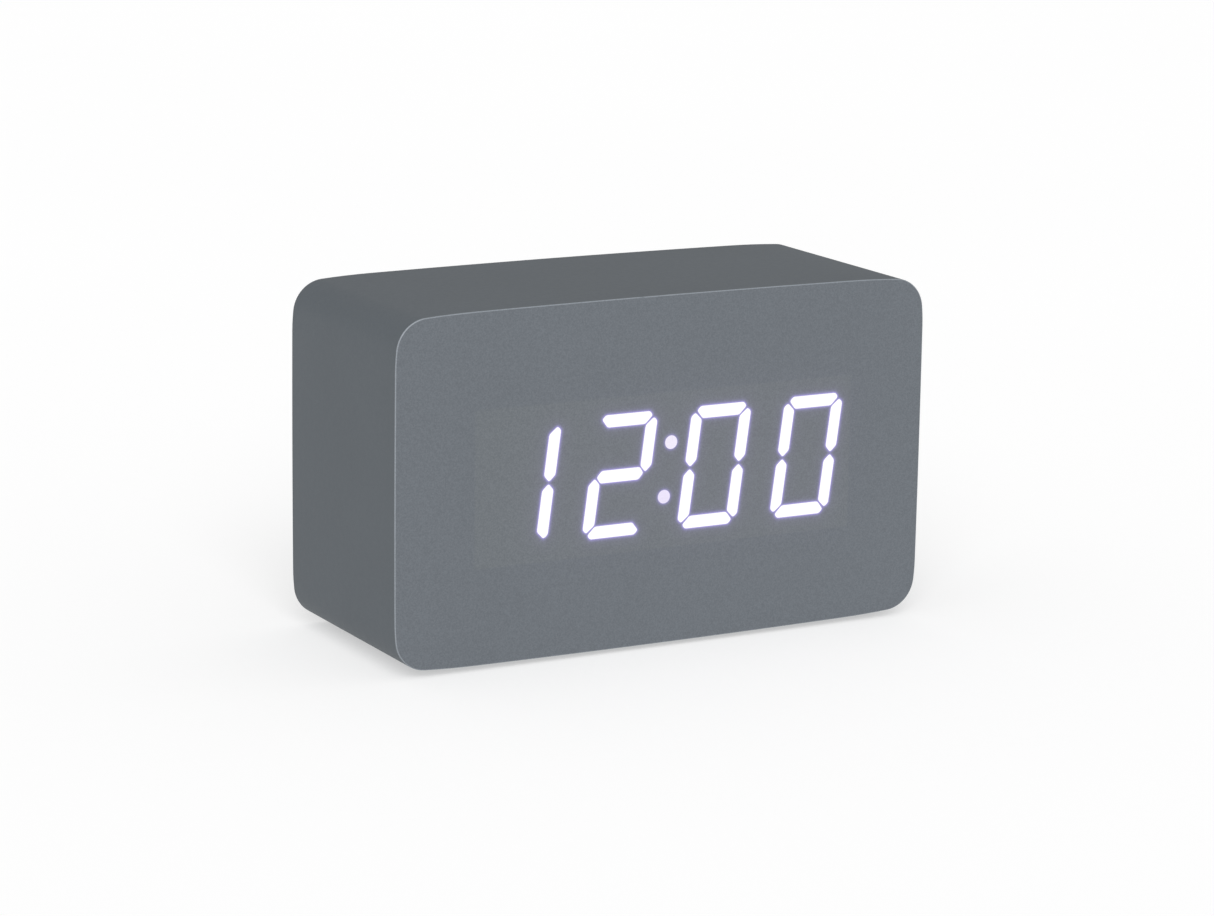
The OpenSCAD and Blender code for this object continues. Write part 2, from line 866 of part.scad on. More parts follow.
// ---------------------------------------------------------------- battery bay

// A flat door that turns on two pins at its lower edge
module battery_door() {
    x0 = bay_x - door_l / 2;
    x1 = bay_x + door_l / 2;
    color(mould_black) difference() {
        union() {
            slab(x0, x1, y_door_in, y_door, hinge_v, door_top);
            rod_x(hinge_y, hinge_v, hinge_r, x0, x1);
            rod_x(hinge_y, hinge_v, pin_r, x0 - pin_l, x0 + 1);
            rod_x(hinge_y, hinge_v, pin_r, x1 - 1, x1 + pin_l);
        }
        // notch for the latch
        pad([bay_x, door_top - latch_l / 2 + 0.5], latch_w + 0.6, latch_l + 1, y_door_in - 1, y_door + 1);
    }
}

// A springy tongue that grips the edge above the door
module door_latch() {
    bottom = door_top - latch_l;
    color(mould_black) difference() {
        pad([bay_x, bottom + latch_l / 2], latch_w, latch_l, y_door_in, y_door);
        // hollow behind the tongue, so that it can bend
        pad([bay_x, bottom + 2.4], latch_w + 1, 3, y_door_in - 1, y_door_in + 1);
        // grip grooves
        for (i = [0 : 2])
            pad([bay_x, door_top - 1.2 - 1.4 * i], latch_w - 2, 0.6, y_door - 0.4, y_door + 1);
    }
}

// A cell. facing is -1 if its nub points to -X, and 1 if to +X
module cell(v, facing) {
    nub_l = 1;
    nub_r = 1.9;
    nub_end = bay_l / 2 - 0.9;
    can_far = nub_end - cell_l;
    translate([bay_x, cell_y, z_mid + bay_v + v])
        rotate([0, 90 * facing, 0]) {
            translate([0, 0, can_far]) cylinder(h = cell_l - nub_l, r = cell_d / 2);
            translate([0, 0, nub_end - nub_l - 0.1]) cylinder(h = nub_l + 0.1, r = nub_r);
        }
}

module battery_top() { color([0.16, 0.36, 0.62]) cell(cell_rows[0], -1); }

module battery_middle() { color([0.16, 0.36, 0.62]) cell(cell_rows[1], 1); }

module battery_bottom() { color([0.16, 0.36, 0.62]) cell(cell_rows[2], -1); }

// Sheet-metal contacts at one end of the bay. side is -1 for the left end seen from the front
module contact_sheets(side, joined, single, dimpled, tab_y) {
    plate = 8.6;
    x_wall = bay_x + side * (bay_l / 2 - 0.1);
    x_face = x_wall - side * contact_t;
    x0 = min(x_wall, x_face);
    x1 = max(x_wall, x_face);
    v_low = bay_v + min(joined[0], joined[1]) - plate / 2;
    v_high = bay_v + max(joined[0], joined[1]) + plate / 2;
    half = plate / 2;
    color(nickel) {
        slab(x0, x1, cell_y - half, cell_y + half, v_low, v_high);
        slab(x0, x1, cell_y - half, cell_y + half, bay_v + single - half, bay_v + single + half);
        for (v = dimpled)
            rod_x(
                cell_y, bay_v + v, 2.2,
                side < 0 ? x_face - 0.1 : x_face - 0.5, side < 0 ? x_face + 0.5 : x_face + 0.1
            );
        pad(
            [x_wall + side * 1.35, bay_v + single], 2.9, 2, cell_y + tab_y - 0.15, cell_y + tab_y + 0.15
        );
    }
}

module left_contacts() {
    contact_sheets(-1, [cell_rows[1], cell_rows[2]], cell_rows[0], [cell_rows[0], cell_rows[2]], -2);
}

module right_contacts() {
    contact_sheets(1, [cell_rows[0], cell_rows[1]], cell_rows[2], [cell_rows[1]], -4);
}

// A conical spring from a contact sheet to the flat end of a cell
module cell_spring(v, side) {
    turns = 3;
    steps = 16;
    wire_r = 0.3;
    wide_r = 3.6;
    narrow_r = 2.2;
    from = bay_l / 2 - 0.1 - contact_t - wire_r - 0.02;
    to = cell_l - bay_l / 2 + 0.9 + wire_r + 0.02;
    path = [
        for (i = [0 : turns * steps])
            let (t = i / (turns * steps), r = wide_r + (narrow_r - wide_r) * t, a = 360 * turns * t)
            [side * (from + (to - from) * t), r * cos(a), r * sin(a)]
    ];
    translate([bay_x, cell_y, z_mid + bay_v + v])
        tube(path, wire_r, 6, [1, 0, 0]);
}

module battery_springs() {
    color(nickel) {
        cell_spring(cell_rows[0], 1);
        cell_spring(cell_rows[1], -1);
        cell_spring(cell_rows[2], 1);
    }
}

// Lead from the positive contact, round the end of the bay, to the board
module red_wire() {
    start = [bay_x - bay_l / 2 - 2.8, cell_y - 2, bay_v + cell_rows[0]];
    end = [-38.7, y_board_front - 0.03, 14.9];
    route = [
        start, start + [-0.8, 0, 0], start + [-1.5, -0.7, 1.4], start + [-1.5, -1.8, 3.9],
        start + [-0.5, -3.2, 6.8], end + [-3.7, -2.8, -1.1], end + [-1.1, -2.2, -0.1],
        end + [-0.1, -1.2, 0], end
    ];
    color([0.75, 0.08, 0.06]) wire(route);
}

// Lead from the negative contact to the board
module black_wire() {
    start = [bay_x + bay_l / 2 + 2.8, cell_y - 4, bay_v + cell_rows[2]];
    end = [16.2, y_board_front - 0.03, -12.3];
    route = [
        start, start + [0.7, -0.1, 0], start + [1.9, -0.9, 0.8], end + [-0.8, -2.2, -2.4],
        end + [-0.1, -2, -0.9], end + [0, -1.1, -0.1], end
    ];
    color([0.05, 0.05, 0.05]) wire(route);
}

// A wire along a route of X, Y and height about the body's middle
module wire(route) {
    translate([0, 0, z_mid])
        tube(smooth_path(route, 4), 0.55, 8, [1, 0, 0.2]);
}

// ---------------------------------------------------------------- nodes

body_block();
body_wrap();
front_skin();
rear_skin();
rubber_feet();
rating_label();
lit_bars();
lit_colon();
diffuser_film();
display_reflector();
light_gasket();
display_board();
segment_leds();
display_screws();
display_socket();
ribbon_cable();
main_board();
board_socket();
board_screws();
tact_switches();
set_plunger();
up_plunger();
down_plunger();
set_button();
up_button();
down_button();
mode_switch_can();
mode_switch_knob();
usb_shell();
usb_tongue();
buzzer();
buzzer_ring();
microphone();
microphone_boot();
microcontroller();
display_driver();
crystal();
capacitors();
regulator();
transistors();
chip_resistors();
rear_cover();
rear_screws();
battery_door();
door_latch();
battery_top();
battery_middle();
battery_bottom();
left_contacts();
right_contacts();
battery_springs();
red_wire();
black_wire();
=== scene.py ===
import math

import bmesh
import bpy
import numpy as np
from mathutils import Matrix, Vector
from mathutils.geometry import delaunay_2d_cdt


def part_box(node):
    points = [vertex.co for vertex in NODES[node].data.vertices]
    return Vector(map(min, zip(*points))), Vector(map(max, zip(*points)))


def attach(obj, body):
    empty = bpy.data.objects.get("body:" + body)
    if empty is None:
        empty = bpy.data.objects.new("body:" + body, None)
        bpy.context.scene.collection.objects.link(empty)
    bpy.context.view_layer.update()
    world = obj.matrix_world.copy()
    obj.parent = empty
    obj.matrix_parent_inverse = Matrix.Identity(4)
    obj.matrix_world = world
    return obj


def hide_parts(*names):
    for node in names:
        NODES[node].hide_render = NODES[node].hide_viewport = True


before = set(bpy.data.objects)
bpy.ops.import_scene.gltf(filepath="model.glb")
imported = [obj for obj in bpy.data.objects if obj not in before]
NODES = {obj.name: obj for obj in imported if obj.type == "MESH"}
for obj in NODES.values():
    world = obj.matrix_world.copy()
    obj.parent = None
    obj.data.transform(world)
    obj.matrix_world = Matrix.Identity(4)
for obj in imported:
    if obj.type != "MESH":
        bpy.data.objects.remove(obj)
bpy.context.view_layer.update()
MM = 0.001

# ---------------------------------------------------------------- camera

# The camera looks from the front left, a little above the body's middle.
YAW, PITCH, ROLL = math.radians(28.906), math.radians(12.513), math.radians(0.843)
TARGET_SHIFT = (-0.401 * MM, 0.0, -2.301 * MM)
DISTANCE = 0.78403
LENS = 113.63
SENSOR = 36.0

wrap_low, wrap_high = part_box("body_wrap")
middle = (wrap_low + wrap_high) / 2
skin_low, skin_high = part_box("front_skin")


def add_camera():
    look = Vector(
        (math.sin(YAW) * math.cos(PITCH), math.cos(YAW) * math.cos(PITCH), -math.sin(PITCH))
    )
    right = Vector((math.cos(YAW), -math.sin(YAW), 0.0))
    up = right.cross(look)
    x_axis = math.cos(ROLL) * right + math.sin(ROLL) * up
    y_axis = -math.sin(ROLL) * right + math.cos(ROLL) * up
    data = bpy.data.cameras.new("camera")
    data.lens = LENS
    data.sensor_width = SENSOR
    data.clip_start = 0.01
    camera = bpy.data.objects.new("camera", data)
    turn = Matrix((x_axis, y_axis, -look)).transposed().to_4x4()
    place = Vector((middle.x, 0.0, middle.z)) + Vector(TARGET_SHIFT) - DISTANCE * look
    camera.matrix_world = Matrix.Translation(place) @ turn
    bpy.context.scene.collection.objects.link(camera)
    bpy.context.scene.camera = camera


add_camera()

# ---------------------------------------------------------------- colours


def linear(r, g, b):
    """An 8-bit display colour as a linear RGBA colour."""

    def one(v):
        v /= 255
        return v / 12.92 if v <= 0.04045 else ((v + 0.055) / 1.055) ** 2.4

    return (one(r), one(g), one(b), 1.0)


# ---------------------------------------------------------------- materials


class Nodes:
    """A material's node tree, with short ways to add what the materials here share."""

    def __init__(self, name):
        self.material = bpy.data.materials.new(name)
        self.material.use_nodes = True
        self.tree = self.material.node_tree
        self.tree.nodes.clear()
        self.out = self.add("ShaderNodeOutputMaterial")
        self.shader = self.add("ShaderNodeBsdfPrincipled")
        self.link(self.shader.outputs[0], self.out.inputs["Surface"])
        self.place = self.add("ShaderNodeTexCoord").outputs["Object"]

    def add(self, kind, **values):
        node = self.tree.nodes.new(kind)
        for key, value in values.items():
            if hasattr(node, key) and key not in node.inputs:
                setattr(node, key, value)
            else:
                node.inputs[key].default_value = value
        return node

    def link(self, a, b):
        self.tree.links.new(a, b)

    def stretched(self, scale):
        node = self.add("ShaderNodeMapping", Scale=scale)
        self.link(self.place, node.inputs["Vector"])
        return node.outputs[0]

    def noise(self, scale, detail=2.0, rough=0.5, vector=None):
        node = self.add("ShaderNodeTexNoise", Scale=scale, Detail=detail, Roughness=rough)
        self.link(vector or self.place, node.inputs["Vector"])
        return node.outputs["Fac"]

    def cells(self, scale):
        node = self.add("ShaderNodeTexVoronoi", Scale=scale)
        self.link(self.place, node.inputs["Vector"])
        return node.outputs["Distance"]

    def span(self, value, low, high, start=0.3, end=0.7):
        """Maps start to end, by default the middle part of a noise, onto low to high."""
        node = self.add("ShaderNodeMapRange")
        self.link(value, node.inputs["Value"])
        node.inputs["From Min"].default_value = start
        node.inputs["From Max"].default_value = end
        node.inputs["To Min"].default_value = low
        node.inputs["To Max"].default_value = high
        return node.outputs["Result"]

    def around(self, value, centre, reach):
        """The value spread evenly on both sides of a centre."""
        return self.span(value, centre - reach, centre + reach)

    def math(self, kind, a, b=0.0):
        node = self.add("ShaderNodeMath", operation=kind)
        for socket, value in zip(node.inputs, (a, b)):
            if isinstance(value, (int, float)):
                socket.default_value = value
            else:
                self.link(value, socket)
        return node.outputs[0]

    def mix(self, factor, a, b, kind="MIX"):
        node = self.add("ShaderNodeMix", data_type="RGBA", blend_type=kind)
        for index, value in ((0, factor), (6, a), (7, b)):
            socket = node.inputs[index]
            if isinstance(value, (int, float, tuple)):
                socket.default_value = value
            else:
                self.link(value, socket)
        return node.outputs[2]

    def times(self, colour, tone):
        return self.mix(1.0, colour, tone, "MULTIPLY")

    def bump(self, height, strength, distance):
        node = self.add("ShaderNodeBump", Strength=strength, Distance=distance)
        self.link(height, node.inputs["Height"])
        return node.outputs[0]

    def axes(self):
        node = self.add("ShaderNodeSeparateXYZ")
        self.link(self.place, node.inputs[0])
        return node.outputs

    def paint(self, colour=None, rough=None, normal=None):
        for name, value in (("Base Color", colour), ("Roughness", rough), ("Normal", normal)):
            socket = self.shader.inputs[name]
            if isinstance(value, (int, float, tuple)):
                socket.default_value = value
            elif value is not None:
                self.link(value, socket)
        return self

    def set(self, **values):
        for key, value in values.items():
            self.shader.inputs[key.replace("_", " ")].default_value = value
        return self


def speckled(name, colour, rough, grain, depth, vary, blotch=60.0, patchy=0.06):
    """Moulded or coated surface: slow colour drift, fine speckle, and a fine grain in relief.

    grain and blotch are noise scales, depth is in millimetres. vary and patchy are how far the
    colour and the roughness go to each side.
    """
    n = Nodes(name)
    drift = n.around(n.noise(blotch, 3.0), 1, vary / 2)
    fine = n.noise(grain, 1.5, 0.6)
    speck = n.around(fine, 1, vary)
    shade = n.times(colour, n.math("MULTIPLY", drift, speck))
    polish = n.around(n.noise(grain * 0.3, 2.0), rough, patchy)
    return n.paint(shade, polish, n.bump(fine, 0.5, depth * MM))


# Matt laminate of the body. The front sheet is lighter than the wrap, with a stronger speckle. The
# window is the faint lighter field over the display. The edge is the light line round the front: a
# lighter laminate core, made lighter still by a painted highlight.
FRONT_GREY = (0.1243, 0.1392, 0.1568, 1.0)
WINDOW_TINT = (1.062, 1.055, 1.025)
WINDOW_GREY = tuple(grey * tint for grey, tint in zip(FRONT_GREY, WINDOW_TINT)) + (1.0,)
WRAP_GREY = (0.0893, 0.1034, 0.1162, 1.0)
EDGE_GREY = (0.280, 0.306, 0.336, 1.0)
LAMINATE_ROUGH = 0.62
LAMINATE_DEPTH = 0.008  # relief of its grain, in millimetres
LAMINATE_SPECULAR = 0.35
BAR_WHITE = (1.03, 1.0, 0.99, 1.0)
DOT_HIGH = linear(234, 227, 244)
DOT_LOW = linear(228, 220, 243)


def laminate(name):
    """The wrap's laminate, also on the rear skin."""
    n = speckled(name, WRAP_GREY, LAMINATE_ROUGH, 2600.0, LAMINATE_DEPTH, 0.045, blotch=35.0, patchy=0.02)
    return n.set(Specular_IOR_Level=LAMINATE_SPECULAR)


def front_material():
    """The front sheet: speckle, a faint lighter field over the window, a rounded edge lightened partly by a
    painted highlight, and light spread from the bars.
    """
    n = Nodes("front_laminate")
    fine = n.noise(3600.0, 1.0, 0.6)
    coarse = n.noise(1100.0, 2.0, 0.5)
    drift = n.around(n.noise(30.0, 2.0), 1, 0.015)
    speck = n.around(fine, 1, 0.115)
    cloud = n.around(coarse, 1, 0.015)
    tone = n.math("MULTIPLY", n.math("MULTIPLY", drift, speck), cloud)
    window = n.add("ShaderNodeAttribute", attribute_name="window").outputs["Fac"]
    edge = n.add("ShaderNodeAttribute", attribute_name="edge").outputs["Fac"]
    glow = n.add("ShaderNodeAttribute", attribute_name="glow").outputs["Color"]
    wall = n.add("ShaderNodeAttribute", attribute_name="wall").outputs["Fac"]
    field = n.mix(window, FRONT_GREY, WINDOW_GREY)
    # The edge mixes in EDGE_GREY: a lighter laminate core, made lighter still as a painted highlight
    colour = n.mix(wall, n.mix(edge, field, EDGE_GREY), WRAP_GREY)
    polish = n.around(coarse, LAMINATE_ROUGH, 0.05)
    n.paint(n.times(colour, tone), polish, n.bump(fine, 0.5, LAMINATE_DEPTH * MM))
    n.link(glow, n.shader.inputs["Emission Color"])
    return n.set(Specular_IOR_Level=LAMINATE_SPECULAR, Emission_Strength=1.0)


def light_material(name, low, high, split):
    """A lit area with a slight unevenness. split is the height where the low colour ends."""
    n = Nodes(name)
    spots = n.around(n.noise(420.0, 1.0), 1, 0.015)
    fine = n.around(n.noise(3000.0, 1.0), 1, 0.03)
    above = n.math("GREATER_THAN", n.axes()[2], split)
    lit = n.times(n.mix(above, low, high), n.math("MULTIPLY", spots, fine))
    n.paint((0.05, 0.05, 0.05, 1.0), 0.6)
    n.link(lit, n.shader.inputs["Emission Color"])
    return n.set(Emission_Strength=1.0, Specular_IOR_Level=0.2)


def fibreboard():
    n = Nodes("fibreboard")
    fibres = n.noise(1.0, 3.0, 0.6, n.stretched((900.0, 2600.0, 900.0)))
    dust = n.noise(2600.0, 2.0, 0.6)
    colour = n.mix(n.span(fibres, 0.0, 1.0), linear(150, 116, 78), linear(186, 152, 108))
    shade = n.times(colour, n.around(dust, 1, 0.1))
    return n.paint(shade, 0.85, n.bump(dust, 0.6, 0.05 * MM))


def metal(name, colour, rough, stretch=None, marks=0.05):
    """Plated or brushed steel, with fine directional marks where it is brushed."""
    n = Nodes(name)
    vector = n.stretched(stretch) if stretch else None
    streaks = n.noise(1.0 if stretch else 1800.0, 2.0, 0.6, vector)
    smudge = n.noise(160.0, 2.0)
    shade = n.times(colour, n.around(smudge, 0.98, 0.06))
    polish = n.around(streaks, rough, marks)
    return n.paint(shade, polish, n.bump(streaks, 0.2, 0.003 * MM)).set(Metallic=1.0)


def circuit_board(name, colour, line, pitch):
    """Solder mask over a net of slightly raised tracks, which wander a little."""
    column_ratio, half_width, fade_end = 1.3, pitch * 0.12, pitch * 0.2
    n = Nodes(name)
    x, _, z = n.axes()
    warp = n.math("MULTIPLY", n.noise(45.0, 0.0), 4 * MM)
    rows = n.math("PINGPONG", n.math("ADD", z, warp), pitch)
    columns = n.math("PINGPONG", n.math("ADD", x, warp), pitch * column_ratio)
    near = n.math("MINIMUM", rows, columns)
    track = n.span(near, 1.0, 0.0, half_width, fade_end)
    tint = n.times(n.mix(track, colour, line), n.around(n.noise(900.0, 2.0), 1, 0.06))
    return n.paint(tint, n.span(n.noise(300.0), 0.28, 0.4), n.bump(track, 0.5, 0.03 * MM))


def ribbon():
    """Grey wires side by side, with grooves between them in a darker grey as painted shade, and the first
    one red.
    """
    half_pitch, groove_half, red_width = 0.635 * MM, 0.3 * MM, 1.2 * MM
    n = Nodes("ribbon")
    x = n.axes()[0]
    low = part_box("ribbon_cable")[0].x
    across = n.math("SUBTRACT", x, low)
    ridge = n.math("PINGPONG", across, half_pitch)
    groove = n.span(ridge, 0.0, 1.0, 0.0, groove_half)
    first = n.math("LESS_THAN", across, red_width)
    colour = n.mix(first, linear(160, 163, 166), linear(170, 40, 36))
    # Painted shade: the grooves between the wires are a darker grey
    shade = n.mix(groove, linear(110, 112, 115), colour)
    return n.paint(shade, n.span(n.noise(900.0), 0.35, 0.5), n.bump(groove, 0.8, 0.15 * MM))


def cell_sleeve(node, facing):
    """A cell's printed sleeve: a dark body, a copper band by the nub, and bare metal past the sleeve."""
    bare_at_nub, bare_at_flat = 1.4 * MM, 0.5 * MM
    band_end, line_at, line_half = 11.0 * MM, 11.6 * MM, 0.4 * MM
    n = Nodes("sleeve_" + node)
    low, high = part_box(node)
    nub = low.x if facing < 0 else high.x
    flat = high.x if facing < 0 else low.x
    x = n.axes()[0]
    from_nub = n.math("ABSOLUTE", n.math("SUBTRACT", x, nub))
    from_flat = n.math("ABSOLUTE", n.math("SUBTRACT", x, flat))
    by_nub = n.math("LESS_THAN", from_nub, bare_at_nub)
    bare = n.math("MAXIMUM", by_nub, n.math("LESS_THAN", from_flat, bare_at_flat))
    band = n.math("LESS_THAN", from_nub, band_end)
    off_line = n.math("ABSOLUTE", n.math("SUBTRACT", from_nub, line_at))
    line = n.math("LESS_THAN", off_line, line_half)
    print_colour = n.mix(band, linear(28, 60, 104), linear(176, 112, 62))
    lined = n.mix(line, print_colour, linear(226, 226, 222))
    shade = n.mix(bare, lined, linear(196, 196, 192))
    scuff = n.span(n.noise(700.0, 3.0), 0.97, 1.02)
    n.paint(n.times(shade, scuff), n.around(n.noise(250.0, 2.0), 0.33, 0.03))
    n.link(n.math("MAXIMUM", bare, n.math("MULTIPLY", band, 0.8)), n.shader.inputs["Metallic"])
    return n.paint(normal=n.bump(n.noise(2400.0, 1.0), 0.1, 0.002 * MM))


def foam():
    n = Nodes("foam")
    pores = n.cells(2600.0)
    shade = n.mix(n.span(pores, 0.0, 1.0, 0.1, 0.6), linear(18, 18, 19), linear(46, 46, 48))
    return n.paint(shade, 0.9, n.bump(pores, 0.8, 0.12 * MM))


def label_paper():
    """A blank rating label: satin film with a thin printed border."""
    border_inset, border_half = 1.3 * MM, 0.12 * MM
    n = Nodes("label_film")
    low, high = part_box("rating_label")
    x, y, _ = n.axes()
    from_x = n.math("SUBTRACT", (high.x - low.x) / 2, n.math("ABSOLUTE", x))
    from_y = n.math("SUBTRACT", (high.y - low.y) / 2, n.math("ABSOLUTE", y))
    inset = n.math("MINIMUM", from_x, from_y)
    off_border = n.math("ABSOLUTE", n.math("SUBTRACT", inset, border_inset))
    border = n.math("LESS_THAN", off_border, border_half)
    fibre = n.span(n.noise(1400.0, 3.0), 0.96, 1.03)
    colour = n.mix(border, linear(206, 207, 204), linear(90, 92, 95))
    return n.paint(n.times(colour, fibre), 0.45, n.bump(n.noise(900.0), 0.2, 0.01 * MM))


def capacitor_sleeve():
    """A dark sleeve with a pale stripe, and the bare top of the can."""
    top_depth, stripe_from_middle = 0.25 * MM, 2.3 * MM
    n = Nodes("capacitor_sleeve")
    low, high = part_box("capacitors")
    x, y, _ = n.axes()
    top = n.math("LESS_THAN", y, low.y + top_depth)
    stripe = n.math("GREATER_THAN", x, (low.x + high.x) / 2 + stripe_from_middle)
    printed = n.mix(stripe, linear(28, 34, 66), linear(170, 174, 184))
    shade = n.mix(top, printed, linear(188, 190, 192))
    mottled = n.times(shade, n.span(n.noise(600.0, 2.0), 0.94, 1.05))
    return n.paint(mottled, n.span(n.noise(500.0), 0.2, 0.32), n.bump(n.noise(900.0), 0.1, 0.01 * MM))


def wire_sheath(name, colour):
    n = speckled(name, colour, rough=0.35, grain=900.0, depth=0.01, vary=0.04, blotch=300.0)
    return n.set(Specular_IOR_Level=0.5)


black = speckled(
    "moulded_black", linear(30, 31, 33), rough=0.50, grain=1900.0, depth=0.05, vary=0.12, patchy=0.03
)
key_black = speckled("key_black", linear(38, 39, 41), rough=0.42, grain=3200.0, depth=0.012, vary=0.06)
steel = metal("screw_steel", linear(176, 176, 174), 0.34)
bright = metal("nickel", linear(205, 203, 196), 0.24, marks=0.06)
sheet_nickel = metal("sheet_nickel", linear(198, 196, 188), 0.30, stretch=(500.0, 5000.0, 700.0))
rubber = speckled("rubber", linear(24, 24, 25), rough=0.78, grain=1600.0, depth=0.03, vary=0.12)
white_plastic = speckled(
    "white_plastic", linear(222, 222, 214), rough=0.42, grain=1800.0, depth=0.01, vary=0.03
)
switch_black = speckled("switch_black", linear(30, 30, 32), rough=0.5, grain=2600.0, depth=0.02, vary=0.08)
chip_black = speckled("chip_black", linear(26, 26, 28), rough=0.55, grain=3000.0, depth=0.02, vary=0.1)
foam_dark = foam()
wrap = laminate("wrap_laminate")

LOOKS = {
    "body_block": fibreboard(),
    "body_wrap": wrap,
    "front_skin": wrap,
    "rear_skin": laminate("rear_laminate"),
    "rubber_feet": rubber,
    "rating_label": label_paper(),
    "lit_bars": light_material("bar_light", BAR_WHITE, BAR_WHITE, middle.z),
    "lit_colon": light_material("dot_light", DOT_LOW, DOT_HIGH, middle.z),
    "diffuser_film": speckled("diffuser", linear(226, 226, 224), 0.4, 1500.0, 0.01, 0.02),
    "display_reflector": speckled("reflector_white", linear(230, 230, 226), 0.5, 1500.0, 0.02, 0.03),
    "light_gasket": foam_dark,
    "display_board": circuit_board("white_board", linear(218, 220, 214), linear(232, 233, 228), 3.1 * MM),
    "segment_leds": speckled("phosphor", linear(232, 216, 120), 0.4, 2200.0, 0.01, 0.05),
    "display_screws": steel,
    "display_socket": white_plastic,
    "ribbon_cable": ribbon(),
    "main_board": circuit_board("green_board", linear(16, 84, 46), linear(30, 112, 64), 2.3 * MM),
    "board_socket": white_plastic,
    "board_screws": steel,
    "tact_switches": switch_black,
    "set_plunger": speckled("stem_cream", linear(214, 206, 182), 0.4, 2200.0, 0.01, 0.03),
    "set_button": key_black,
    "mode_switch_can": bright,
    "mode_switch_knob": white_plastic,
    "usb_shell": bright,
    "usb_tongue": chip_black,
    "buzzer": chip_black,
    "buzzer_ring": foam_dark,
    "microphone": bright,
    "microphone_boot": rubber,
    "microcontroller": chip_black,
    "display_driver": chip_black,
    "crystal": bright,
    "capacitors": capacitor_sleeve(),
    "regulator": chip_black,
    "transistors": chip_black,
    "chip_resistors": chip_black,
    "rear_cover": black,
    "rear_screws": steel,
    "battery_door": black,
    "door_latch": black,
    "battery_top": cell_sleeve("battery_top", -1),
    "battery_middle": cell_sleeve("battery_middle", 1),
    "battery_bottom": cell_sleeve("battery_bottom", -1),
    "left_contacts": sheet_nickel,
    "right_contacts": sheet_nickel,
    "battery_springs": bright,
    "red_wire": wire_sheath("wire_red", linear(178, 22, 20)),
    "black_wire": wire_sheath("wire_black", linear(22, 22, 24)),
}
for key in ("up", "down"):
    LOOKS[key + "_plunger"] = LOOKS["set_plunger"]
    LOOKS[key + "_button"] = key_black

# Width of the small rounding on each node's sharp edges, in millimetres
ROUNDED = {
    "rear_cover": 0.25,
    "battery_door": 0.25,
    "door_latch": 0.12,
    "set_button": 0.25,
    "up_button": 0.25,
    "down_button": 0.25,
    "mode_switch_knob": 0.15,
    "rear_screws": 0.12,
    "rubber_feet": 0.3,
    "usb_shell": 0.08,
    "usb_tongue": 0.08,
    "rear_skin": 0.12,
}

WELD_GAP = 0.002 * MM
BEVEL_ANGLE = math.radians(40)  # edges sharper than this are rounded
SPLIT_ANGLE = math.radians(30)  # on the other nodes, edges sharper than this stay sharp


def smooth_look(node):
    """Adds modifiers: smooth shading on curved faces, and small roundings on the nodes in ROUNDED."""
    obj = NODES[node]
    for polygon in obj.data.polygons:
        polygon.use_smooth = True
    weld = obj.modifiers.new("weld", "WELD")
    weld.merge_threshold = WELD_GAP
    if node in ROUNDED:
        bevel = obj.modifiers.new("rounding", "BEVEL")
        bevel.width = ROUNDED[node] * MM
        bevel.segments = 3
        bevel.limit_method = "ANGLE"
        bevel.angle_limit = BEVEL_ANGLE
        bevel.use_clamp_overlap = True
        flats = obj.modifiers.new("flats", "WEIGHTED_NORMAL")
        flats.mode = "FACE_AREA_WITH_ANGLE"
        flats.weight = 100
    else:
        split = obj.modifiers.new("split", "EDGE_SPLIT")
        split.split_angle = SPLIT_ANGLE


for node, look in LOOKS.items():
    data = NODES[node].data
    data.materials.clear()
    data.materials.append(look.material)
    smooth_look(node)

# ---------------------------------------------------------------- front sheet

EDGE_R = 0.22 * MM  # rounding of the sheet's outer edge
EDGE_STEPS = 5
EDGE_LAP = 0.02 * MM  # a narrow strip behind the rounding, where the edge's lighter tone and painted highlight end
SHEET_SPLIT_ANGLE = math.radians(35)  # edges sharper than this stay sharp
IN_PLANE = 1e-6  # a point this close to a plane counts as on it
ON_LINE = 0.05 * MM  # points this close to an outline count as on it
SAME_PLACE = 0.04 * MM  # points inside the sheet are thinned to one in a square of this side
WINDOW = np.array((86 * MM, 32 * MM))  # width and height of the faint field
WINDOW_LINE = 0.35 * MM  # width of the line in which the window's field ends
WINDOW_INSET = 0.3 * MM  # the field starts this far inside the window's outline
WINDOW_COUNTS = (90, 34)  # points along its long and its short sides
OUTER_STEP, HOLE_STEP = 1.0 * MM, 0.45 * MM  # longest sides of the divided outlines
HALO_RINGS = (0.07, 0.16, 0.28, 0.45, 0.7, 1.1)  # millimetres out from a lit area
GRID = 1.1 * MM  # spacing of the points over the rest of the sheet
GRID_CLEARANCE = 0.4  # millimetres from the last ring to the grid
DOT_AREA = 9 * MM * MM  # lit areas smaller than this are the dots
DOT_GAIN = 0.6  # their spread light against that of a bar

# Light spread round a lit area, as colours and reaches in millimetres
RIM, RIM_REACH = np.array((0.28, 0.22, 0.70)), 0.23
GLOW, GLOW_REACH = np.array((0.020, 0.012, 0.036)), 1.2
HAZE, HAZE_REACH = np.array((0.0050, 0.0034, 0.0062)), 4.5

# How light the rounded edge is (a lighter laminate core with a painted highlight), and its marks on top, as
# x, half width and factor
EDGE_TONE = 0.68
EDGE_MARKS = ((-6.0 * MM, 0.5 * MM, 0.3), (0.3 * MM, 0.4 * MM, 1.4))
# A painted highlight at the top-left corner of the rounded edge
CORNER_INSET, CORNER_REACH, CORNER_GAIN = 2.0 * MM, 4.0 * MM, 0.45


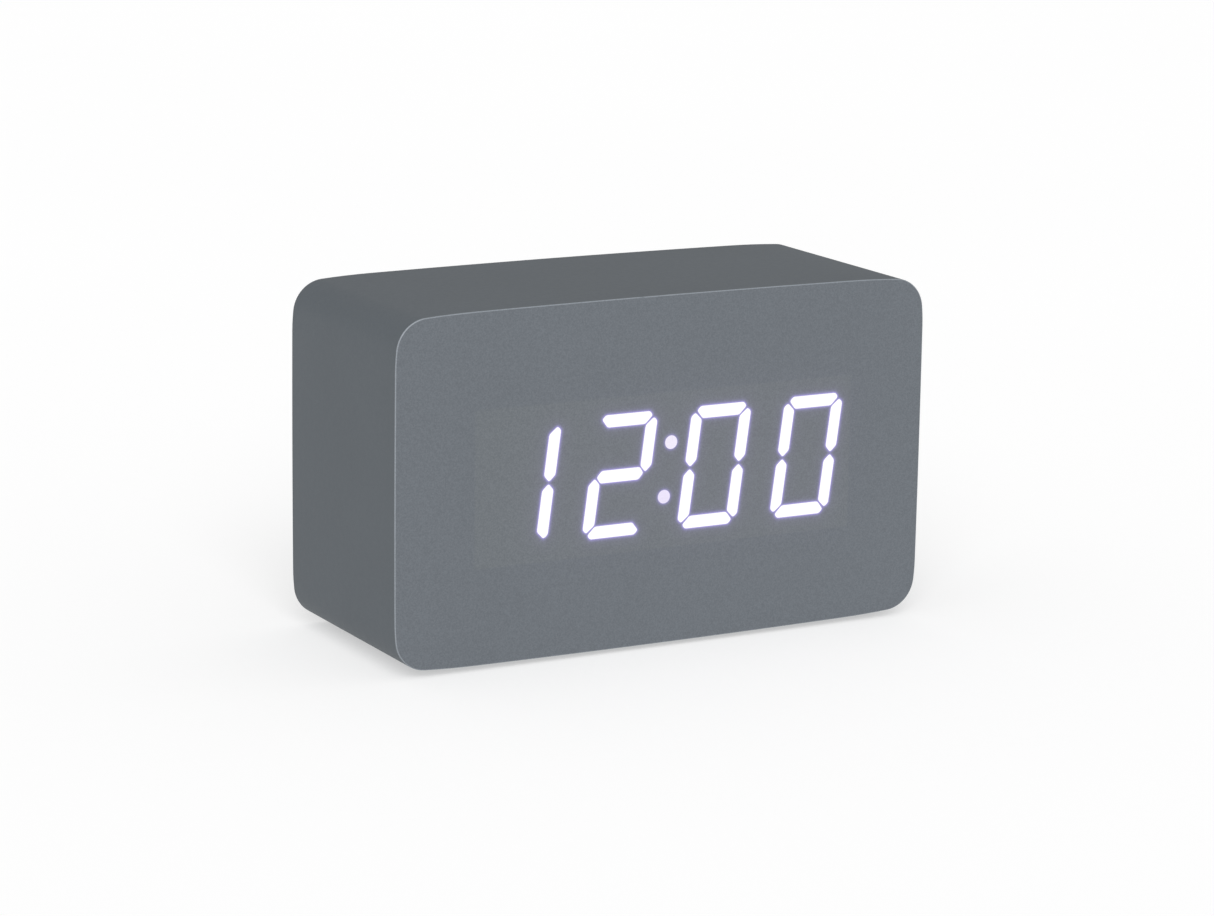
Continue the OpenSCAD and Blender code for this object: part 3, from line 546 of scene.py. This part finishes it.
def plane_loops(node, y):
    """The closed outlines, in x and z, of the flat face that a node has at y, the largest first."""
    data = NODES[node].data
    numbers, points, seen = {}, [], set()
    for polygon in data.polygons:
        corners = [data.vertices[i].co for i in polygon.vertices]
        if any(abs(co.y - y) > IN_PLANE for co in corners):
            continue
        ids = []
        for co in corners:
            key = (round(co.x, 7), round(co.z, 7))
            if key not in numbers:
                numbers[key] = len(points)
                points.append(key)
            ids.append(numbers[key])
        seen.update(zip(ids, ids[1:] + ids[:1]))
    following = {a: b for a, b in seen if (b, a) not in seen}
    loops = []
    while following:
        start = at = min(following)
        loop = []
        while at in following:
            loop.append(at)
            at = following.pop(at)
        loops.append(np.array([points[i] for i in loop]))
    loops = [loop if area(loop) > 0 else loop[::-1] for loop in loops]
    return sorted(loops, key=lambda loop: (-area(loop), loop[0][0], loop[0][1]))


def area(loop):
    x, z = loop[:, 0], loop[:, 1]
    return 0.5 * float(np.sum(x * np.roll(z, -1) - np.roll(x, -1) * z))


def divided(loop, step):
    """The loop with its long sides divided into steps."""
    out = []
    for p, q in zip(loop, np.roll(loop, -1, 0)):
        count = max(1, math.ceil(np.linalg.norm(q - p) / step))
        out += [p + (q - p) * k / count for k in range(count)]
    return np.array(out)


def offset(loop, distance):
    """The loop moved outward by a distance, point by point."""

    def normal(a, b):
        along = b - a
        out = np.stack([along[:, 1], -along[:, 0]], 1)
        return out / np.linalg.norm(out, axis=1, keepdims=True)

    before = normal(np.roll(loop, 1, 0), loop)
    mean = before + normal(loop, np.roll(loop, -1, 0))
    mean /= np.linalg.norm(mean, axis=1, keepdims=True)
    reach = np.clip(np.sum(mean * before, 1, keepdims=True), 0.5, 1.0)
    return loop + mean * distance / reach


def distances(points, loop):
    """Distance from each point to a closed loop, negative inside it."""
    best = np.full(len(points), 1e9)
    inside = np.zeros(len(points), bool)
    for p, q in zip(loop, np.roll(loop, -1, 0)):
        side = q - p
        t = np.clip(((points - p) @ side) / (side @ side), 0, 1)
        best = np.minimum(best, np.linalg.norm(points - p - t[:, None] * side, axis=1))
        crosses = (p[1] > points[:, 1]) != (q[1] > points[:, 1])
        where = p[0] + (points[:, 1] - p[1]) * side[0] / (side[1] if side[1] else 1e-12)
        inside ^= crosses & (points[:, 0] < where)
    return np.where(inside, -best, best)


def filled(loops, extra):
    """Triangles that fill the first loop around the others, as indices into all the points in turn."""
    points = np.concatenate(loops + [extra]) if len(extra) else np.concatenate(loops)
    sides, first = [], 0
    for loop in loops:
        count = len(loop)
        sides += [(first + i, first + (i + 1) % count) for i in range(count)]
        first += count
    made = delaunay_2d_cdt([Vector(p) / MM for p in points], sides, [], 0, 1e-5)
    given = [ids[0] for ids in made[3]]
    faces = np.array([[given[i] for i in face] for face in made[2] if len(face) == 3])
    centres = points[faces].mean(1)
    keep = distances(centres, loops[0]) < 0
    for hole in loops[1:]:
        keep &= distances(centres, hole) > 0
    return points, faces[keep]


def window_border():
    """Points on both sides of the window's edge, so that its field ends in a narrow line."""
    out = []
    for inset in (0.0, WINDOW_LINE):
        w, h = WINDOW / 2 - inset
        for t in np.linspace(-1, 1, WINDOW_COUNTS[0]):
            out += [(middle.x + w * t, middle.z + h), (middle.x + w * t, middle.z - h)]
        for t in np.linspace(-1, 1, WINDOW_COUNTS[1]):
            out += [(middle.x + w, middle.z + h * t), (middle.x - w, middle.z + h * t)]
    return np.array(out)


def inner_points(flat_edge, holes):
    """Points inside the sheet: rings round each lit area, the window's border, and a grid."""
    xs = np.arange(skin_low.x, skin_high.x, GRID)
    zs = np.arange(skin_low.z, skin_high.z, GRID)
    grid = np.array([(x, z) for x in xs for z in zs])
    rings = [offset(hole, ring * MM) for hole in holes for ring in HALO_RINGS]
    for hole in holes:
        grid = grid[distances(grid, hole) > (HALO_RINGS[-1] + GRID_CLEARANCE) * MM]
    points = np.concatenate(rings + [window_border(), grid])
    clear = -distances(points, flat_edge)
    for hole in holes:
        clear = np.minimum(clear, distances(points, hole))
    points = points[clear > ON_LINE]
    squares = np.round(points / SAME_PLACE).astype(int)
    first = np.unique(squares, axis=0, return_index=True)[1]
    return points[np.sort(first)]


def halo(points, loops, gains):
    """Light that the sheet spreads round each lit area: a tight violet rim, a glow and a wide haze."""
    total = np.zeros((len(points), 3))
    closest = np.full(len(points), 1e9)
    gain_here = np.ones(len(points))
    for loop, gain in zip(loops, gains):
        away = np.maximum(distances(points, loop), 0) / MM
        total += gain * np.exp(-away / HAZE_REACH)[:, None] * HAZE
        gain_here = np.where(away < closest, gain, gain_here)
        closest = np.minimum(closest, away)
    total += (gain_here * np.exp(-closest / RIM_REACH))[:, None] * RIM
    total += (gain_here * np.exp(-closest / GLOW_REACH))[:, None] * GLOW
    return total


def edge_core_and_highlight(points, depth):
    """How light the rounded edge is at each point: a lighter laminate core lifted by a painted highlight, a
    dull and a bright mark on top, and a painted highlight at the top-left corner.
    """
    edge_lightness = ((depth > IN_PLANE) & (depth < EDGE_R + EDGE_LAP / 2)) * EDGE_TONE
    top = points[:, 1] > middle.z
    for x, half_width, factor in EDGE_MARKS:
        edge_lightness[top & (np.abs(points[:, 0] - x) < half_width)] *= factor
    # Painted highlight: the edge gets lighter still near the top-left corner
    corner = np.array((skin_low.x + CORNER_INSET, skin_high.z - CORNER_INSET))
    away = np.linalg.norm(points - corner, axis=1)
    return edge_lightness * (1 + CORNER_GAIN * np.exp(-((away / CORNER_REACH) ** 2)))


def front_sheet():
    """The front skin with a rounded edge, and fine enough round the bars to carry their light."""
    y0, y1 = skin_low.y, skin_high.y
    loops = plane_loops("front_skin", y0)
    outer = divided(loops[0], OUTER_STEP)
    holes = [divided(loop, HOLE_STEP) for loop in loops[1:]]
    flat_edge = offset(outer, -EDGE_R)
    points, faces = filled([flat_edge] + holes, inner_points(flat_edge, holes))
    mesh = bmesh.new()

    def ring(loop, y):
        return [mesh.verts.new((x, y, z)) for x, z in loop]

    def fill(verts, faces):
        for face in faces:
            mesh.faces.new([verts[i] for i in face])

    def join(upper, lower):
        for i in range(len(upper)):
            j = (i + 1) % len(upper)
            mesh.faces.new((upper[i], lower[i], lower[j], upper[j]))

    front = ring(points, y0)
    fill(front, faces)
    strip = front[: len(flat_edge)]
    turns = [math.radians(90 * k / EDGE_STEPS) for k in range(1, EDGE_STEPS + 1)]
    profile = [(EDGE_R * (1 - math.cos(a)), EDGE_R * (1 - math.sin(a))) for a in turns]
    for depth, inset in profile + [(EDGE_R + EDGE_LAP, 0.0), (y1 - y0, 0.0)]:
        lower = ring(offset(outer, -inset), y0 + depth)
        join(strip, lower)
        strip = lower
    back, first = strip, len(flat_edge)
    for hole in holes:
        lower = ring(hole, y1)
        join(front[first : first + len(hole)], lower)
        back = back + lower
        first += len(hole)
    fill(back, filled([outer] + holes, [])[1])
    bmesh.ops.recalc_face_normals(mesh, faces=mesh.faces)
    data = bpy.data.meshes.new("front_sheet")
    mesh.to_mesh(data)
    mesh.free()

    co = np.zeros(len(data.vertices) * 3)
    data.vertices.foreach_get("co", co)
    co = co.reshape(-1, 3)
    here, depth = co[:, [0, 2]], co[:, 1] - y0
    in_front = depth < IN_PLANE
    gains = [DOT_GAIN if area(hole) < DOT_AREA else 1.0 for hole in holes]
    light = np.ones((len(co), 4))
    light[:, :3] = 0
    light[in_front, :3] = halo(here[in_front], holes, gains)
    off_middle = np.abs(here - np.array((middle.x, middle.z)))
    in_window = in_front & np.all(off_middle <= WINDOW / 2 - WINDOW_INSET, axis=1)
    data.attributes.new("glow", "FLOAT_COLOR", "POINT").data.foreach_set("color", light.ravel())
    wall = (depth > EDGE_R + EDGE_LAP / 2) & (distances(here, outer) > -ON_LINE)
    for name, values in (
        ("window", in_window.astype(float)),
        ("edge", edge_core_and_highlight(here, depth)),
        ("wall", wall.astype(float)),
    ):
        data.attributes.new(name, "FLOAT", "POINT").data.foreach_set("value", values)
    data.polygons.foreach_set("use_smooth", [True] * len(data.polygons))
    obj = bpy.data.objects.new("front_sheet", data)
    bpy.context.scene.collection.objects.link(obj)
    data.materials.append(front_material().material)
    obj.modifiers.new("split", "EDGE_SPLIT").split_angle = SHEET_SPLIT_ANGLE
    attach(obj, "clock")
    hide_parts("front_skin")


front_sheet()

# ---------------------------------------------------------------- floor and light

# The floor glows a little, which keeps it nearly white.
FLOOR_HALF = 6.0
FLOOR_GREY = (0.56, 0.56, 0.56, 1.0)
FLOOR_GLOW = 0.48
WHITE = (1.0, 1.0, 1.0, 1.0)
ROOM_LIGHT = 0.62
SUN_STRENGTH = 1.6
SUN_ANGLE = math.radians(38)  # a wide sun gives soft shadows
TO_SUN = Vector((-0.36, -0.74, 0.57))


def studio():
    n = Nodes("floor")
    n.paint(n.times(FLOOR_GREY, n.around(n.noise(3.0, 2.0), 1, 0.005)), 0.9)
    n.set(Emission_Color=WHITE, Emission_Strength=FLOOR_GLOW, Specular_IOR_Level=0.1)
    data = bpy.data.meshes.new("floor")
    corners = [(x * FLOOR_HALF, y * FLOOR_HALF, 0) for x, y in ((-1, -1), (1, -1), (1, 1), (-1, 1))]
    data.from_pydata(corners, [], [(0, 1, 2, 3)])
    floor = bpy.data.objects.new("floor", data)
    data.materials.append(n.material)
    bpy.context.scene.collection.objects.link(floor)

    world = bpy.data.worlds.new("room")
    world.use_nodes = True
    back = world.node_tree.nodes["Background"]
    back.inputs["Color"].default_value = WHITE
    back.inputs["Strength"].default_value = ROOM_LIGHT
    bpy.context.scene.world = world

    light = bpy.data.lights.new("key", "SUN")
    light.energy = SUN_STRENGTH
    light.angle = SUN_ANGLE
    lamp = bpy.data.objects.new("key", light)
    lamp.rotation_euler = TO_SUN.to_track_quat("Z", "Y").to_euler()
    bpy.context.scene.collection.objects.link(lamp)
    bpy.context.scene.view_settings.view_transform = "Standard"


studio()
